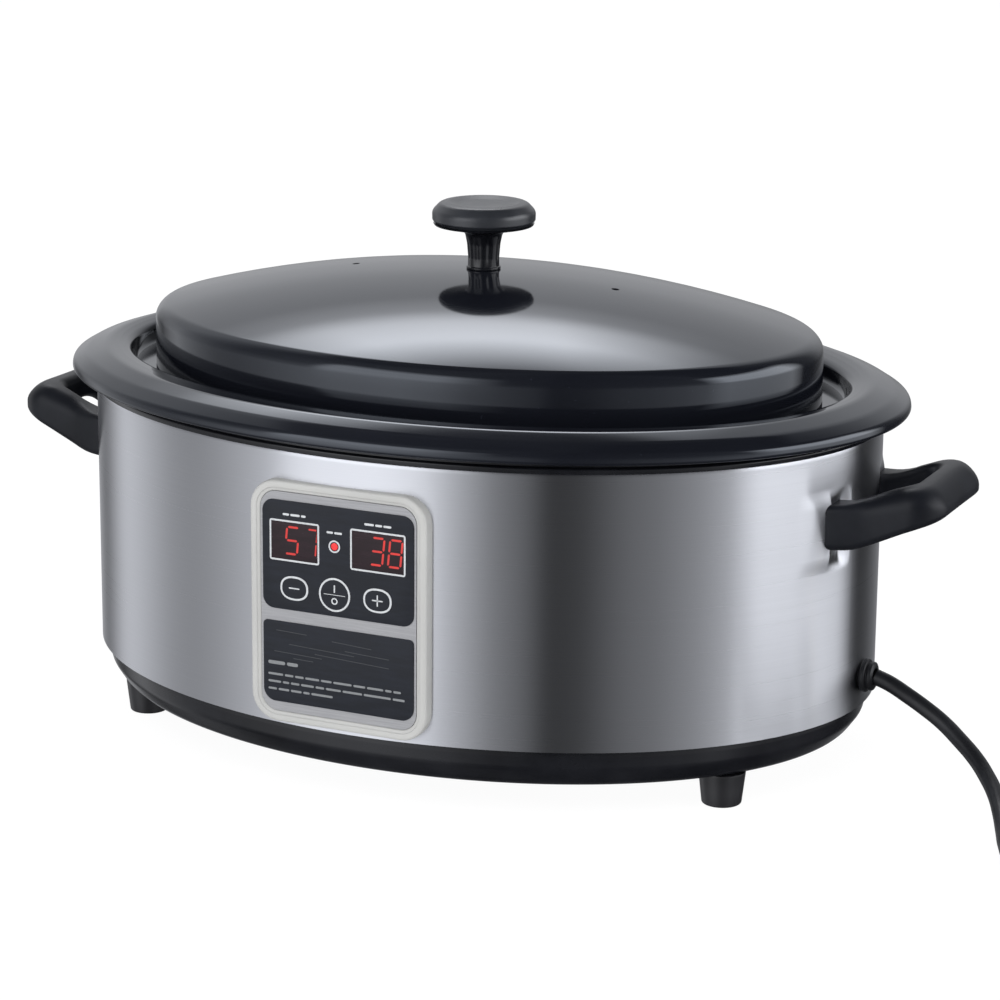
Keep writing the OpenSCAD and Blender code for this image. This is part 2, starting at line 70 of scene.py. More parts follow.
def face_on(node):
    """Middle in X and in Z, width and height of a CAD node's box, in millimetres."""
    low, high = box_mm(node)
    return (low.x + high.x) / 2, (low.z + high.z) / 2, high.x - low.x, high.z - low.z


def add_object(name, data):
    """A new object in the scene."""
    added = bpy.data.objects.new(name, data)
    bpy.context.scene.collection.objects.link(added)
    return added


# ---- Camera ----

def make_camera():
    """A long lens at the front right, looking down by 15 degrees."""
    azimuth, elevation, roll = math.radians(24.81), math.radians(14.95), math.radians(0.52)
    target, distance = Vector((8.9, 0, 102)), 1501
    back = Vector((math.sin(azimuth) * math.cos(elevation), -math.cos(azimuth) * math.cos(elevation),
                   math.sin(elevation)))
    right = Vector((math.cos(azimuth), math.sin(azimuth), 0))
    up = back.cross(right)
    across = math.cos(roll) * right + math.sin(roll) * up
    over = math.cos(roll) * up - math.sin(roll) * right
    data = bpy.data.cameras.new("camera")
    data.lens, data.sensor_width = 122.0, 36.0
    camera = add_object("camera", data)
    camera.matrix_world = Matrix((across, over, back)).transposed().to_4x4()
    camera.location = (target + distance * back) * MM
    bpy.context.scene.camera = camera


# ---- Meshes ----

def make_piece(name, points, faces, body, material, sharp=40):
    """A shaded piece on its CAD body, from points in millimetres and faces of their numbers, with its
    normals outwards."""
    shape = bmesh.new()
    corners = [shape.verts.new(Vector(p) * MM) for p in points]
    for face in faces:
        if len(set(face)) > 2:
            shape.faces.new([corners[i] for i in face])
    bmesh.ops.remove_doubles(shape, verts=shape.verts, dist=1e-7)
    bmesh.ops.recalc_face_normals(shape, faces=shape.faces)
    mesh = bpy.data.meshes.new(name)
    shape.to_mesh(mesh)
    shape.free()
    mesh.validate()
    for face in mesh.polygons:
        face.use_smooth = True
    mesh.set_sharp_from_angle(angle=math.radians(sharp))
    mesh.materials.append(material)
    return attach(add_object(name, mesh), body)


def joined(parts):
    """Points and faces of several shapes as one."""
    points, faces = [], []
    for more, their_faces in parts:
        start = len(points)
        points += more
        faces += [[start + i for i in face] for face in their_faces]
    return points, faces


def rounded(corners, closed=False, steps=6):
    """An outline of (x, y, radius) corners, with an arc at each corner that has a radius."""
    out, count = [], len(corners)
    for i, (x, y, radius) in enumerate(corners):
        here = Vector((x, y))
        if radius <= 0 or (not closed and i in (0, count - 1)):
            out.append(here)
            continue
        before = Vector(corners[i - 1][:2]) - here
        after = Vector(corners[(i + 1) % count][:2]) - here
        turn = before.angle(after)
        reach = min(radius / math.tan(turn / 2), before.length * 0.49, after.length * 0.49)
        fit = reach * math.tan(turn / 2)
        centre = here + (before.normalized() + after.normalized()).normalized() * fit / math.sin(turn / 2)
        first = here + before.normalized() * reach - centre
        last = here + after.normalized() * reach - centre
        sweep = first.angle_signed(last, 0.0)
        out += [centre + Matrix.Rotation(-sweep * k / steps, 2) @ first for k in range(steps + 1)]
    return [(p.x, p.y) for p in out]


def spin(profile, depth=1.0, segments=240, closed=False, squeeze=None):
    """Carries a profile of (radius, height) round an oval. depth is the oval's depth over its length, or a
    function from the radius in X to the one in Y. squeeze(angle, height) scales the radius."""
    points, faces, rows = [], [], len(profile)
    for j in range(segments):
        angle = 2 * math.pi * j / segments
        for radius, height in profile:
            scale = squeeze(angle, height) if squeeze else 1
            deep = depth(radius) if callable(depth) else radius * depth
            points.append((scale * radius * math.cos(angle), scale * deep * math.sin(angle), height))
    for j in range(segments):
        a, b = j * rows, (j + 1) % segments * rows
        for i in range(rows if closed else rows - 1):
            k = (i + 1) % rows
            faces.append([a + i, b + i, b + k, a + k])
    return points, faces


def band(loops):
    """Joins loops with the same number of points into a closed ring, the last one to the first."""
    rows, count = len(loops), len(loops[0])
    points = [p for loop in loops for p in loop]
    faces = [[r * count + i, r * count + (i + 1) % count, (r + 1) % rows * count + (i + 1) % count,
              (r + 1) % rows * count + i] for r in range(rows) for i in range(count)]
    return points, faces


def stack(loops):
    """Joins loops with the same number of points, and closes the first and the last one."""
    points, faces = band(loops)
    count = len(loops[0])
    last = len(points) - count
    return points, faces[:last] + [list(range(count))[::-1], list(range(last, last + count))]


def plate_loop(x, z, w, h, r, y, steps=8, inset=0.0):
    """A rectangle with round corners in the plane of the panel, at depth y, made smaller on all sides by an
    inset. r is one radius or four, from the upper right round to the lower right."""
    radii = [r] * 4 if isinstance(r, (int, float)) else r
    signs = ((1, 1), (-1, 1), (-1, -1), (1, -1))
    out = []
    for (sx, sz), radius, start in zip(signs, radii, (0, 90, 180, 270)):
        radius = max(radius - inset, 0.02)
        cx, cz = x + sx * (w / 2 - inset - radius), z + sz * (h / 2 - inset - radius)
        for k in range(steps + 1):
            angle = math.radians(start + 90 * k / steps)
            out.append((cx + radius * math.cos(angle), y, cz + radius * math.sin(angle)))
    return out


def tile(x, z, w, h, r, y_front, y_back, edge=0.2):
    """A flat plate whose front edge is softly rounded."""
    loops = [plate_loop(x, z, w, h, r, y_front + edge * (1 - math.cos(t)), inset=edge * (1 - math.sin(t)))
             for t in (math.radians(a) for a in (0, 30, 60, 90))]
    return stack(loops + [plate_loop(x, z, w, h, r, y_back)])


def ring_mark(x, z, w, h, r, thick, y, depth=0.06):
    """A printed outline: a thin frame that stands a little proud of what it is printed on."""
    return band([plate_loop(x, z, w, h, r, y), plate_loop(x, z, w, h, r, y - depth),
                 plate_loop(x, z, w, h, r, y - depth, inset=thick),
                 plate_loop(x, z, w, h, r, y, inset=thick)])


def stroke(a, b, width, y, depth=0.06):
    """A printed line with round ends from a to b in the plane of the panel."""
    ax, az, bx, bz = *a, *b
    along = math.atan2(bz - az, bx - ax)
    loop = []
    for (cx, cz), start in (((bx, bz), -90), ((ax, az), 90)):
        for k in range(7):
            angle = along + math.radians(start + 30 * k)
            loop.append((cx + width / 2 * math.cos(angle), cz + width / 2 * math.sin(angle)))
    return stack([[(px, y, pz) for px, pz in loop], [(px, y - depth, pz) for px, pz in loop]])


def smooth_curve(points, per=4):
    """A Catmull-Rom line through the points, with per steps between two of them."""
    out = []
    last = len(points) - 1
    for i in range(last):
        a, b, c, d = (Vector(points[max(i - 1, 0)]), Vector(points[i]), Vector(points[i + 1]),
                      Vector(points[min(i + 2, last)]))
        for k in range(per):
            u = k / per
            out.append(0.5 * (2 * b + (c - a) * u + (2 * a - 5 * b + 4 * c - d) * u * u
                              + (3 * b - a - 3 * c + d) * u * u * u))
    return out + [Vector(points[-1])]


def cut(piece, body, shapes):
    """Takes other shapes out of a piece."""
    cutters = [make_piece("cutter", *shape, body, piece.data.materials[0]) for shape in shapes]
    for cutter in cutters:
        tool = piece.modifiers.new("cut", "BOOLEAN")
        tool.operation, tool.object, tool.solver = "DIFFERENCE", cutter, "EXACT"
    bpy.context.view_layer.update()
    result = piece.evaluated_get(bpy.context.evaluated_depsgraph_get())
    mesh = bpy.data.meshes.new_from_object(result)
    piece.modifiers.clear()
    piece.data = mesh
    mesh.set_sharp_from_angle(angle=math.radians(40))
    for cutter in cutters:
        bpy.data.objects.remove(cutter)


# ---- Materials ----

def connect(value, socket):
    """Links a value that is a socket, or sets one that isn't."""
    if isinstance(value, bpy.types.NodeSocket):
        socket.id_data.links.new(value, socket)
    else:
        socket.default_value = value


def feed(node, **inputs):
    """Gives inputs of a node their values. A _ stands for a space in a name."""
    for key, value in inputs.items():
        connect(value, node.inputs[key.replace("_", " ")])


def maths(tree, operation, *values):
    """A maths node on numbers or sockets."""
    node = tree.nodes.new("ShaderNodeMath")
    node.operation = operation
    for socket, value in zip(node.inputs, values):
        connect(value, socket)
    return node.outputs[0]


def scaled(colour, factor):
    """A lighter or darker colour."""
    return tuple(c * factor for c in colour)


class Nodes:
    """A material and short calls that add nodes to it."""

    def __init__(self, name):
        self.material = bpy.data.materials.new(name)
        self.material.use_nodes = True
        self.tree = self.material.node_tree
        self.shader = self.tree.nodes["Principled BSDF"]
        self.place = self.add("ShaderNodeTexCoord").outputs["Object"]

    def add(self, kind, **settings):
        node = self.tree.nodes.new(kind)
        for key, value in settings.items():
            setattr(node, key, value)
        return node

    def set(self, **inputs):
        """Gives inputs of the surface their values."""
        feed(self.shader, **inputs)

    def noise(self, scale, detail=3.0, roughness=0.55, stretch=(1, 1, 1)):
        """Noise whose grain is 1/scale metres, stretched along each axis."""
        mapping = self.add("ShaderNodeMapping")
        feed(mapping, Vector=self.place, Scale=stretch)
        node = self.add("ShaderNodeTexNoise")
        feed(node, Vector=mapping.outputs["Vector"], Scale=scale, Detail=detail, Roughness=roughness)
        return node.outputs["Fac"]

    def span(self, value, low, high, smallest=0.3, largest=0.7):
        """Maps smallest..largest of a value to low..high."""
        node = self.add("ShaderNodeMapRange")
        feed(node, Value=value, From_Min=smallest, From_Max=largest, To_Min=low, To_Max=high)
        return node.outputs["Result"]

    def mixed(self, factor, first, second):
        """Colour between two, by a factor. Each is a colour or a socket."""
        node = self.add("ShaderNodeMix", data_type="RGBA")
        feed(node, Factor=factor)
        for key, colour in (("A", first), ("B", second)):
            socket = next(s for s in node.inputs if s.name == key and s.type == "RGBA")
            connect((*colour, 1) if isinstance(colour, tuple) else colour, socket)
        return next(s for s in node.outputs if s.type == "RGBA")

    def paint(self, factor, first, second):
        """Gives the surface a colour between two."""
        self.set(Base_Color=self.mixed(factor, first, second))

    def rough(self, value, *limits):
        """Gives the surface a roughness between the first two limits."""
        self.set(Roughness=self.span(value, *limits))

    def combine(self, operation, first, second):
        """A value from two values."""
        return maths(self.tree, operation, first, second)

    def bump(self, height, distance, strength):
        """Gives the surface a relief whose depth is in millimetres."""
        node = self.add("ShaderNodeBump")
        feed(node, Distance=distance * MM, Strength=strength, Height=height)
        self.set(Normal=node.outputs["Normal"])


def plastic(name, colour, rough, grain=1800, depth=0.012, shade=0.35, specular=0.5):
    """Moulded plastic: a fine moulded grain, faint flow marks and a rubbed look on its edges."""
    n = Nodes(name)
    flow = n.noise(28, 4, 0.6)
    fine = n.noise(grain, 2, 0.5)
    lighter = tuple(min(1, c * (1 + shade) + 0.004) for c in colour)
    n.paint(n.span(flow, 0, 1), scaled(colour, 1 - shade), lighter)
    edges = n.add("ShaderNodeNewGeometry").outputs["Pointiness"]
    worn = n.combine("MULTIPLY", n.span(edges, 0, 1, 0.52, 0.62), 0.08)
    n.set(Roughness=n.combine("SUBTRACT", n.span(flow, rough - 0.05, rough + 0.05), worn))
    n.bump(fine, depth, 0.6)
    n.set(Specular_IOR_Level=specular)
    return n.material


def enamel(name, colour, rough):
    """Glass enamel on steel: deep gloss with a faint ripple and a few pinhole specks."""
    n = Nodes(name)
    ripple = n.noise(75, 2, 0.4)
    cloud = n.noise(9, 3, 0.5)
    speck = n.span(n.noise(900, 0, 0.5), 0, 1, 0.80, 0.86)
    base = n.mixed(n.span(cloud, 0, 1), scaled(colour, 0.8), scaled(colour, 1.25))
    n.paint(speck, base, scaled(colour, 1.8))
    n.rough(cloud, rough * 0.8, rough * 1.25)
    n.bump(ripple, 0.012, 0.3)
    n.set(Specular_IOR_Level=0.5, IOR=1.6, Specular_Tint=(0.86, 0.92, 1.0, 1))
    return n.material


def brushed_steel(name):
    """Stainless sheet brushed along its length: fine streaks that spread each reflection up and down."""
    n = Nodes(name)
    fine = n.noise(1, 2, 0.6, stretch=(6, 6, 3400))
    long = n.noise(1, 3, 0.6, stretch=(1.6, 1.6, 900))
    cloud = n.noise(6, 3, 0.55)
    streaks = n.combine("ADD", n.combine("MULTIPLY", fine, 0.65), n.combine("MULTIPLY", long, 0.35))
    tone = n.combine("ADD", n.combine("MULTIPLY", streaks, 0.7), n.combine("MULTIPLY", cloud, 0.3))
    n.paint(n.span(tone, 0, 1, 0.35, 0.65), (0.585, 0.593, 0.621), (0.622, 0.632, 0.661))
    n.rough(streaks, 0.27, 0.30)
    n.bump(streaks, 0.001, 0.05)
    tangent = n.add("ShaderNodeTangent", direction_type="RADIAL", axis="Z").outputs["Tangent"]
    n.set(Metallic=1.0, Anisotropic=1.0, Anisotropic_Rotation=0.25, Tangent=tangent)
    return n.material


def brushed_plate(name, dark, light):
    """A satin metallic plate with level brush marks."""
    n = Nodes(name)
    streaks = n.noise(1, 3, 0.7, stretch=(45, 45, 1500))
    n.paint(n.span(streaks, 0, 1), dark, light)
    n.rough(streaks, 0.36, 0.5)
    n.bump(streaks, 0.01, 0.5)
    n.set(Metallic=0.55)
    return n.material


def sheet_metal(name, colour, rough, blotch=60):
    """Plated or bare metal with cloudy patches and fine scratches."""
    n = Nodes(name)
    patch = n.noise(blotch, 4, 0.6)
    scratch = n.noise(1, 2, 0.7, stretch=(900, 60, 60))
    n.paint(n.span(patch, 0, 1), scaled(colour, 0.82), colour)
    n.rough(patch, rough - 0.08, rough + 0.1)
    n.bump(scratch, 0.008, 0.4)
    n.set(Metallic=1.0)
    return n.material


def woven(name, colour, threads=700):
    """Cloth of crossed threads."""
    n = Nodes(name)
    waves = []
    for axis in ("X", "Z"):
        wave = n.add("ShaderNodeTexWave", wave_type="BANDS", bands_direction=axis)
        feed(wave, Vector=n.place, Scale=threads, Distortion=1.5)
        waves.append(wave.outputs["Fac"])
    weave = n.combine("MULTIPLY", *waves)
    n.paint(weave, scaled(colour, 0.6), colour)
    n.rough(weave, 0.8, 0.95, 0, 1)
    n.bump(weave, 0.15, 0.8)
    return n.material


def lit(name, colour, strength):
    """A lamp or lit segment: brighter in its middle patches."""
    n = Nodes(name)
    uneven = n.noise(260, 2, 0.5)
    glow = n.mixed(n.span(uneven, 0, 1), scaled(colour, 0.75), colour)
    n.paint(n.span(uneven, 0, 1), scaled(colour, 0.3), scaled(colour, 0.4))
    n.rough(uneven, 0.25, 0.35)
    n.set(Emission_Color=glow, Emission_Strength=strength)
    return n.material


def printed_ink(name, colour):
    """Screen-printed ink, slightly uneven."""
    n = Nodes(name)
    cover = n.noise(900, 3, 0.6)
    n.paint(n.span(cover, 0, 1), scaled(colour, 0.8), colour)
    n.rough(cover, 0.4, 0.55)
    n.bump(cover, 0.01, 0.4)
    return n.material


def film(name, colour, rough):
    """A printed panel film: dark, nearly flat, with a fine velvet grain and faint rub marks."""
    n = Nodes(name)
    grain = n.noise(3000, 2, 0.5)
    rub = n.noise(1, 3, 0.6, stretch=(60, 60, 320))
    n.paint(n.span(rub, 0, 1, 0.4, 0.75), scaled(colour, 0.85), scaled(colour, 1.35))
    n.rough(rub, rough - 0.05, rough + 0.08)
    n.bump(grain, 0.006, 0.5)
    n.set(Specular_IOR_Level=0.22)
    return n.material


materials = {
    "gloss_black": plastic("gloss_black", (0.006, 0.0065, 0.009), 0.15, grain=900, depth=0.003, specular=0.4),
    "zinc_plate": sheet_metal("zinc_plate", (0.62, 0.63, 0.64), 0.42),
    "foot_black": plastic("foot_black", (0.012, 0.012, 0.014), 0.34),
    "screw_steel": sheet_metal("screw_steel", (0.68, 0.68, 0.70), 0.28, 200),
    "wall_steel": brushed_steel("wall_steel"),
    "fibre": woven("fibre", (0.80, 0.78, 0.70), 260),
    "heater_cloth": woven("heater_cloth", (0.70, 0.66, 0.54), 520),
    "brass": sheet_metal("brass", (0.80, 0.62, 0.28), 0.3, 160),
    "fuse_white": plastic("fuse_white", (0.78, 0.76, 0.70), 0.4, shade=0.06),
    "satin_black": plastic("satin_black", (0.0062, 0.0072, 0.0105), 0.40,
                           grain=2200, depth=0.008, specular=0.2),
    "bezel_grey": plastic("bezel_grey", (0.50, 0.50, 0.485), 0.38, grain=1500, depth=0.008, shade=0.05),
    "plate_grey": brushed_plate("plate_grey", (0.30, 0.30, 0.31), (0.42, 0.42, 0.43)),
    "screen_black": film("screen_black", (0.0125, 0.0145, 0.0205), 0.38),
    "display_red": film("display_red", (0.017, 0.008, 0.011), 0.22),
    "led_red": lit("led_red", (0.85, 0.03, 0.03), 0.9),
    "board_green": plastic("board_green", (0.03, 0.20, 0.08), 0.35, shade=0.2),
    "board_tan": plastic("board_tan", (0.48, 0.33, 0.14), 0.5, shade=0.15),
    "core_steel": sheet_metal("core_steel", (0.30, 0.28, 0.24), 0.5, 300),
    "relay_blue": plastic("relay_blue", (0.03, 0.10, 0.36), 0.4, shade=0.1),
    "wire_mix": plastic("wire_mix", (0.45, 0.10, 0.07), 0.45, shade=0.2),
    "cord_black": plastic("cord_black", (0.008, 0.0085, 0.0105), 0.40,
                          grain=1400, depth=0.02, specular=0.35),
    "tie_black": plastic("tie_black", (0.02, 0.02, 0.02), 0.6, grain=1200, depth=0.05),
    "enamel_black": enamel("enamel_black", (0.008, 0.009, 0.013), 0.085),
}
ink = printed_ink("panel_ink", (0.66, 0.68, 0.70))
faint_ink = printed_ink("faint_ink", (0.24, 0.25, 0.26))
rub_ink = printed_ink("rub_ink", (0.045, 0.049, 0.055))
digit_glow = lit("digit_glow", (0.80, 0.030, 0.022), 0.55)


def dress_frame():
    """Every CAD node takes the finish of its material slot."""
    for row in frame["record"]["subparts"]:
        node = frame["nodes"][row["node"]]
        node.data.materials.clear()
        node.data.materials.append(materials[row["material_slot"]])


def show(name, shape, node, body="chassis", sharp=40):
    """A piece that takes the place of a CAD node, with the same material slot."""
    slot = next(row["material_slot"] for row in frame["record"]["subparts"] if row["node"] == node)
    piece = make_piece(name, *shape, body, materials[slot], sharp)
    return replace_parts(piece, node)


# ---- Cord ----

# Route from the grommet to the coil, and from the coil to the plug
CORD_ROUTE = [
    (186, 0, 45.4), (192.5, 0, 43.2), (200, 0, 39.4), (208, -0.5, 35.2), (217, -2, 30.2),
    (226, -6, 24.9), (235, -11.5, 19.6), (242, -18, 15), (248.5, -26.5, 10.9),
    (254, -37, 7.2), (259, -49, 4.6), (264, -62, 3.7), (271.5, -77.5, 3.62),
    (283.5, -91, 3.62), (300, -100, 3.62), (318, -102, 3.62)]
TAIL_ROUTE = [(364, -62, 10.6), (364, -50, 10.5), (364, -36, 10.3), (364, -23, 10.6), (364, -11, 11)]
# Stations of the coil: angle in degrees, radius of the turn, height of its middle
COIL_STATIONS = [
    (-90, 42, 3.62), (200, 42, 3.62), (265, 35, 3.62), (500, 35, 3.62), (555, 35, 10.6),
    (795, 35, 10.6), (855, 42, 10.6), (1080, 42, 10.6)]


def eased(u):
    """A soft start and end between 0 and 1."""
    return u * u * (3 - 2 * u)


def coil_route(centre_x, centre_y, step=20):
    """Points of the coil's turns, from just after the lead to just before the tail."""
    out = []
    for (a0, r0, z0), (a1, r1, z1) in zip(COIL_STATIONS, COIL_STATIONS[1:]):
        count = round((a1 - a0) / step)
        for k in range(count):
            u = k / count
            angle = math.radians(a0 + (a1 - a0) * u)
            radius, height = r0 + (r1 - r0) * eased(u), z0 + (z1 - z0) * eased(u)
            out.append((centre_x + radius * math.cos(angle), centre_y + radius * math.sin(angle), height))
    return out[1:]


def make_cord():
    """One lead: from the grommet down to the table, round its coil and back to the plug."""
    centre = middle("cord_coil")
    route = CORD_ROUTE + coil_route(centre.x, centre.y) + TAIL_ROUTE
    curve = bpy.data.curves.new("mains_lead", "CURVE")
    curve.dimensions = "3D"
    curve.bevel_depth, curve.bevel_resolution, curve.resolution_u = 3.5 * MM, 5, 5
    line = curve.splines.new("BEZIER")
    line.bezier_points.add(len(route) - 1)
    for knot, place in zip(line.bezier_points, route):
        knot.co = Vector(place) * MM
        knot.handle_left_type = knot.handle_right_type = "AUTO"
    curve.materials.append(materials["cord_black"])
    lead = add_object("mains_lead", curve)
    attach(lead, "chassis")
    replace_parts(lead, "power_cord", "cord_coil", "cord_tail")
    places = [Vector(p) for p in smooth_curve(route, 4)]
    length = sum((b - a).length for a, b in zip(places, places[1:])) * MM
    return lead, length


def make_plug():
    """A moulded plug with a waisted grip, finger ribs and a ribbed sleeve behind it."""
    low, high = box_mm("plug_body")
    x, z = middle("plug_body").x, 11.2
    stations = [(low.y + 8, 7.5, 6.6, 6), (low.y + 10, 9.2, 7.6, 6), (low.y + 15, 10.2, 8.4, 6),
                (low.y + 18, 12.2, 10.3, 5.5), (low.y + 24, 12.7, 10.8, 5), (high.y - 9, 12.4, 10.6, 5),
                (high.y - 5, 12.9, 10.9, 4.5), (high.y - 0.8, 12.9, 10.9, 4), (high.y, 12.2, 10.2, 3.6)]
    loops = [[(px, y, pz) for px, _, pz in plate_loop(x, z, 2 * w, 2 * h, r, 0)] for y, w, h, r in stations]
    outline = [(0, low.y + 0.2), (4.3, low.y + 0.2)]
    for i in range(5):
        y, rib, groove = low.y + 1.2 + 1.7 * i, 4.9 + 0.4 * i, 4.1 + 0.4 * i
        outline += [(rib, y), (rib, y + 0.9), (groove, y + 1.0), (groove, y + 1.6)]
    outline += [(6.4, low.y + 9.5), (0, low.y + 9.5)]
    points, faces = spin(outline, segments=40)
    sleeve = ([(x + px, pz, TAIL_ROUTE[-1][2] + py) for px, py, pz in points], faces)
    ribs = []
    for side in (-1, 1):
        for i in range(4):
            rib_x, y = x + side * 12.5, low.y + 21 + 2.6 * i
            ribs.append(stack([[(rib_x + side * dx, y + dy, z + dz) for dx, dy, dz in loop] for loop in (
                [(0.45, -0.2, -5), (0.45, 0.2, -5), (0.45, 0.2, 5), (0.45, -0.2, 5)],
                [(-0.6, -0.7, -6), (-0.6, 0.7, -6), (-0.6, 0.7, 6), (-0.6, -0.7, 6)])]))
    return show("plug_moulding", joined([stack(loops), sleeve] + ribs), "plug_body")


def make_tie():
    """A soft strap round the coil."""
    low, high = box_mm("cord_tie")
    centre = (low + high) / 2
    rows = []
    for x, shrink, radius in ((low.x + 0.2, 0.15, 4.2), (low.x, 0.35, 4.0), (high.x, 0.35, 4.0),
                              (high.x - 0.2, 0.15, 4.2), (high.x - 0.2, 0.9, 3.4), (low.x + 0.2, 0.9, 3.4)):
        section = plate_loop(0, 0, high.y - low.y - 2 * shrink, high.z - low.z - 2 * shrink, radius, 0, 6)
        rows.append([(x, centre.y + py, centre.z + pz) for py, _, pz in section])
    return show("cord_strap", band(rows), "cord_tie")


# ---- Base and feet ----

def make_skirt():
    """The gloss black base pan with a rolled lower edge and a small step under the wall."""
    low, high = box_mm("base_skirt")
    r, top, bottom = high.x, high.z, low.z
    profile = rounded([
        (r, top, 0), (r, top - 3, 1), (r - 0.6, bottom + 9, 6), (r - 7, bottom, 9), (150, bottom, 0),
        (150, bottom + 2.5, 0), (r - 8, bottom + 2.5, 7), (r - 2.6, bottom + 9.5, 5),
        (r - 2.6, top, 0)], True)
    return show("base_pan", spin(profile, high.y / r, 300, True), "base_skirt", sharp=50)


def make_feet():
    """Four round feet with a screw hole, at the same distance from both middle planes."""
    high = box_mm("feet")[1]
    radius, top = 10, high.z
    x, y = high.x - radius, high.y - radius
    profile = rounded([
        (2.2, 0.9, 0), (4.6, 0.9, 0.3), (5.0, 0, 0.4), (8.4, 0, 0.9), (9.1, 6, 3), (radius, top - 0.6, 0.5),
        (radius, top, 0), (2.2, top, 0)], True)
    points, faces = spin(profile, 1, 64, True)
    parts = [([(px + sx * x, py + sy * y, pz) for px, py, pz in points], faces)
             for sx in (-1, 1) for sy in (-1, 1)]
    return show("feet_moulded", joined(parts), "feet")


# ---- Wall ----

def pad_cover(y, z, centre_z):
    """How far a point of the wall lies on one of the pressed pads: 1 on it, 0 off it. Outwards the pad runs
    down in one long even slope, and its other edges are short and soft."""
    outwards = min(1, max(0, (50.5 - abs(y)) / 16))
    inwards = min(1, max(0, (abs(y) - 18) / 8))
    upright = min(1, max(0, (18.5 - abs(z - centre_z)) / 8))
    return outwards * eased(inwards) * eased(upright)


def wall_angles():
    """Angles round the wall in degrees, closer together at the pads."""
    out, angle = [], 0.0
    while angle < 90:
        out.append(angle)
        angle += 0.22 if 6.5 < angle < 25.5 else 1.1
    quarter = out + [90.0]
    half = quarter + [180 - a for a in reversed(quarter[:-1])]
    return half + [-a for a in reversed(half[1:-1])]


def make_wall():
    """The steel wall: one sheet with a pressed pad at each handle leg, turned in at both edges."""
    low, high = box_mm("outer_wrap")
    half_length, half_depth, sheet = 180.0, -low.y, 0.8
    bottom, top = low.z, high.z
    pad_x, pad_z, pad_rise = 175.2, middle("handle_right").z - 7.5, 1.2
    pad_foot = pad_z - 22
    heights = [z for z in (bottom + 0.3 + 2.5 * i for i in range(25)) if z < pad_foot]
    heights += [pad_foot + 0.55 * i for i in range(81)]
    heights += [z for z in (top - 13, top - 9, top - 5, top - 2, top - sheet) if z > heights[-1] + 0.5]
    angles = [math.radians(t) for t in wall_angles()]

    def place(angle, z, inset):
        x, y = (half_length - inset) * math.cos(angle), (half_depth - inset) * math.sin(angle)
        side = 1 if x > 0 else -1
        cover = pad_cover(y, z, pad_z) if abs(x) > 150 else 0
        seat = min(pad_x - inset, abs(x) + pad_rise)
        return (x + cover * (side * seat - x), y, z)

    outside = [(bottom, 4), (bottom, sheet)] + [(z, 0) for z in heights] + [(top - 0.2, 0.25), (top, sheet)]
    inside = [(top, 2.4), (top - sheet, 2.4)] + [(z, sheet) for z in reversed(heights[1:])]
    rows = outside + inside + [(bottom + sheet, 4)]
    wall = show("steel_wall", band([[place(angle, z, inset) for angle in angles] for z, inset in rows]),
                "outer_wrap", sharp=50)
    panel = middle("control_bezel")
    window = stack([plate_loop(panel.x, panel.z, 74, 97, 8, y) for y in (-half_depth - 5, -half_depth + 30)])
    cord = middle("cord_grommet")
    drill, faces = spin([(0, 160), (5.9, 160), (5.9, 190), (0, 190)], segments=48)
    drill = ([(z, x + cord.y, y + cord.z) for x, y, z in drill], faces)
    cut(wall, "chassis", [window, drill])


def make_trim():
    """The black ring between wall and flange, with its fine groove."""
    low, high = box_mm("trim_ring")
    r, z, top = high.x, low.z, high.z
    profile = rounded([
        (160, z, 0), (r - 1.2, z, 0.3), (r - 0.8, z + 2.2, 0.8), (r - 2.6, z + 2.9, 0.3),
        (r - 2.6, z + 3.7, 0.3), (r, z + 4.3, 0.6), (r - 0.2, top, 0.8), (175, top, 0), (175, z + 2, 0),
        (160, z + 2, 0)], True)
    return show("trim_band", spin(profile, high.y / r, 300, True), "trim_ring", sharp=50)


# ---- Handles ----

def along_profile(knots, x):
    """Height of a smooth edge through the knots (x, height) at x."""
    for i in range(len(knots) - 1):
        (x0, z0), (x1, z1) = knots[i], knots[i + 1]
        if x <= x1 or i == len(knots) - 2:
            before = knots[max(i - 1, 0)]
            after = knots[min(i + 2, len(knots) - 1)]
            m0 = (z1 - before[1]) / (x1 - before[0])
            m1 = (after[1] - z0) / (after[0] - x0)
            w = x1 - x0
            u = min(1, max(0, (x - x0) / w))
            return (z0 * (1 + 2 * u) * (1 - u) ** 2 + m0 * w * u * (1 - u) ** 2
                    + z1 * u * u * (3 - 2 * u) - m1 * w * u * u * (1 - u))
    return knots[-1][1]


def handle_plan(steps=14):
    """Inner and outer plan points (x, y) of the right grip, from the front leg's foot to the rear one's.
    The legs are straight and flare outwards where they meet the wall."""
    high = box_mm("handle_right")[1]
    tip, side, flare = high.x, high.y, 3.4
    front = []
    for i in range(8):
        x = 171 + 3.3 * i
        front.append(((x, 13 - side), (x, -side - flare * (1 - eased(i / 7)))))
    for k in range(steps + 1):
        t = math.radians(-90 + 90 * k / steps)
        front.append(((tip - 24 + 8 * math.cos(t), 21 - side + 8 * math.sin(t)),
                      (tip - 14 + 14 * math.cos(t), 14 - side + 14 * math.sin(t))))
    front += [((tip - 16, (21 - side) * (1 - k / 5)), (tip, (14 - side) * (1 - k / 5))) for k in range(1, 6)]
    return front + [((ix, -iy), (ox, -oy)) for (ix, iy), (ox, oy) in reversed(front[:-1])]


